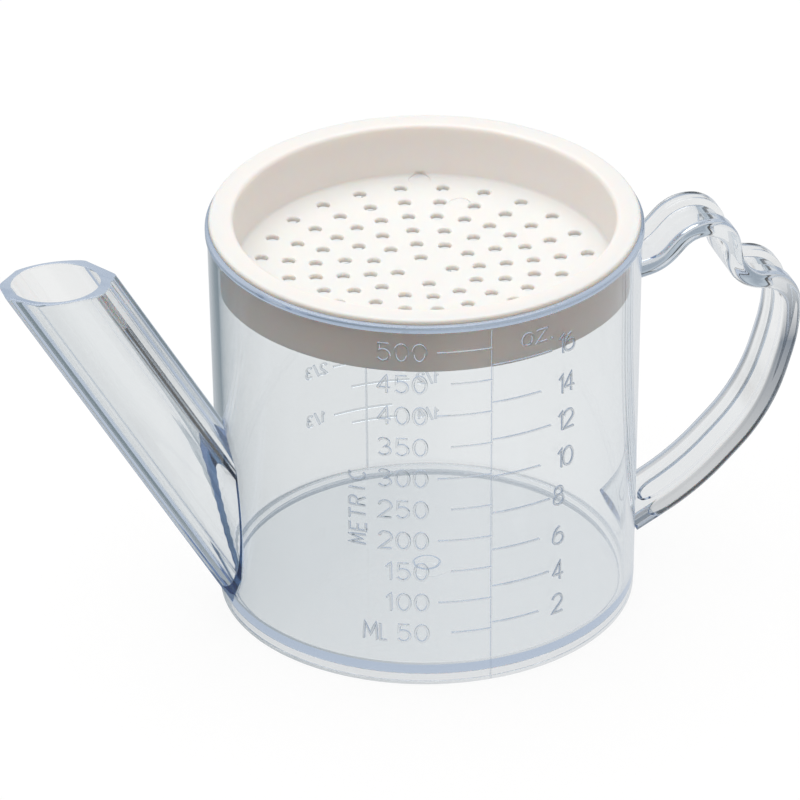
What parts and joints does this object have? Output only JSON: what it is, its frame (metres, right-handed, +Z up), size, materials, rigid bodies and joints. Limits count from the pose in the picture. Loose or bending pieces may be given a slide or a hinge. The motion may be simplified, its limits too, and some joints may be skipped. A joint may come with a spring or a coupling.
{
  "type": "gravy fat separator",
  "caption": "Clear cup that pours from a slanted spout low on its side, with a wavy strap handle and a perforated strainer that lifts off the rim.",
  "frame": {"origin": "on the table under the middle of the cup", "axes": "+Z up along the cup's axis, +X towards the handle, -X towards the spout; the volume scales face -Y"},
  "size_m": [0.181, 0.096, 0.0918],
  "materials": {
    "clear_plastic": "clear, glossy, very slightly blue",
    "white_plastic": "smooth, warm white, slightly translucent"
  },
  "bodies": {
    "cup": {"cup_shell": "clear_plastic", "spout": "clear_plastic", "handle": "clear_plastic"},
    "strainer": {"strainer_lid": "white_plastic"}
  },
  "joints": [
    {"name": "strainer_lift", "type": "slide", "parent": "cup", "child": "strainer", "axis": [0, 0, 1], "range_m": [0, 0.05]}
  ]
}
